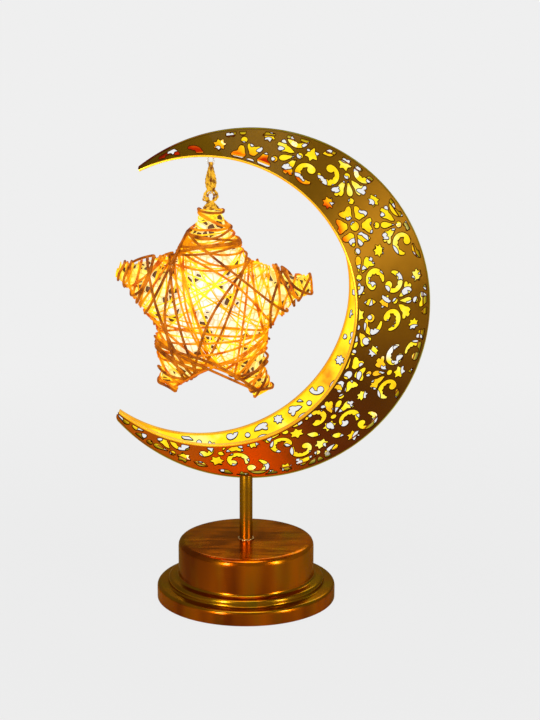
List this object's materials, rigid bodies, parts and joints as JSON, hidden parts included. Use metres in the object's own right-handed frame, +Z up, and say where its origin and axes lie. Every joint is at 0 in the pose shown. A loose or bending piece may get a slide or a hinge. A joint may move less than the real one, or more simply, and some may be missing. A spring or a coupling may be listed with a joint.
{
  "type": "table lamp",
  "caption": "Battery table lamp: a pierced metal crescent moon on a stepped round base, with a lit wound star hanging in its opening.",
  "frame": {"origin": "middle of the base, on the plane that the lamp stands on", "axes": "+Z up, the front faces -Y, +X towards the full side of the moon"},
  "size_m": [0.1951, 0.113, 0.2996],
  "materials": {
    "bronze": "brushed bronze",
    "moon_plate": "satin bronze",
    "black_plastic": "fine texture",
    "clear_plastic": "glossy",
    "rubber": "matte",
    "zinc": "plated",
    "cell_sleeve": "glossy printed sleeve",
    "circuit_board": "solder mask",
    "copper_wire": "lacquered",
    "lead_sleeve": "soft sleeve",
    "lamp_bead": "clear epoxy",
    "twine": "twisted fibre",
    "star_skin": "translucent",
    "rattan": "satin strand"
  },
  "bodies": {
    "lamp": {"base_shell": "bronze", "bottom_plate": "black_plastic", "door_pin": "zinc", "cell_1": "cell_sleeve", "plus_contact_1": "zinc", "minus_leaf_1": "zinc", "cell_2": "cell_sleeve", "plus_contact_2": "zinc", "minus_leaf_2": "zinc", "plate_screw_1": "zinc", "plate_screw_2": "zinc", "plate_screw_3": "zinc", "rubber_foot_1": "rubber", "rubber_foot_2": "rubber", "rubber_foot_3": "rubber", "rubber_foot_4": "rubber", "centre_pad": "rubber", "switch_body": "black_plastic", "driver_board": "circuit_board", "battery_lead": "lead_sleeve", "switch_lead": "lead_sleeve", "stem_lead": "lead_sleeve", "stem_tube": "bronze", "stem_washer": "zinc", "stem_nut": "zinc", "moon_front_plate": "moon_plate", "moon_back_plate": "moon_plate", "moon_wire": "copper_wire", "moon_light_1": "lamp_bead", "moon_light_2": "lamp_bead", "moon_light_3": "lamp_bead", "moon_light_4": "lamp_bead", "moon_light_5": "lamp_bead", "moon_light_6": "lamp_bead", "moon_light_7": "lamp_bead", "moon_light_8": "lamp_bead", "moon_light_9": "lamp_bead", "moon_light_10": "lamp_bead", "wire_clip_1": "clear_plastic", "wire_clip_2": "clear_plastic", "wire_clip_3": "clear_plastic", "wire_clip_4": "clear_plastic", "wire_clip_5": "clear_plastic", "hanger_pin": "zinc"},
    "link": {"hang_link": "clear_plastic"},
    "loop": {"twine_loop": "twine"},
    "star": {"star_knot": "twine", "star_core": "star_skin", "star_winding": "rattan", "star_frame": "zinc", "star_wire": "copper_wire", "star_light_1": "lamp_bead", "star_light_2": "lamp_bead", "star_light_3": "lamp_bead", "star_light_4": "lamp_bead", "star_light_5": "lamp_bead"},
    "door": {"battery_door": "black_plastic"},
    "knob": {"switch_knob": "black_plastic"}
  },
  "joints": [
    {"name": "link_swing", "type": "hinge", "parent": "lamp", "child": "link", "pos_m": [-0.0214, 0, 0.28508], "axis": [0, 1, 0], "range_deg": [-9, 9]},
    {"name": "loop_swing", "type": "hinge", "parent": "link", "child": "loop", "pos_m": [-0.0214, 0, 0.27678], "axis": [1, 0, 0], "range_deg": [-25, 25]},
    {"name": "star_twist", "type": "hinge", "parent": "loop", "child": "star", "pos_m": [-0.0214, 0, 0.252], "axis": [0, 0, 1], "range_deg": [-90, 90]},
    {"name": "door_hinge", "type": "hinge", "parent": "lamp", "child": "door", "pos_m": [0, 0.0345, 0.0037], "axis": [1, 0, 0], "range_deg": [0, 100]},
    {"name": "switch_slide", "type": "slide", "parent": "lamp", "child": "knob", "axis": [1, 0, 0], "range_m": [0, 0.004]}
  ]
}
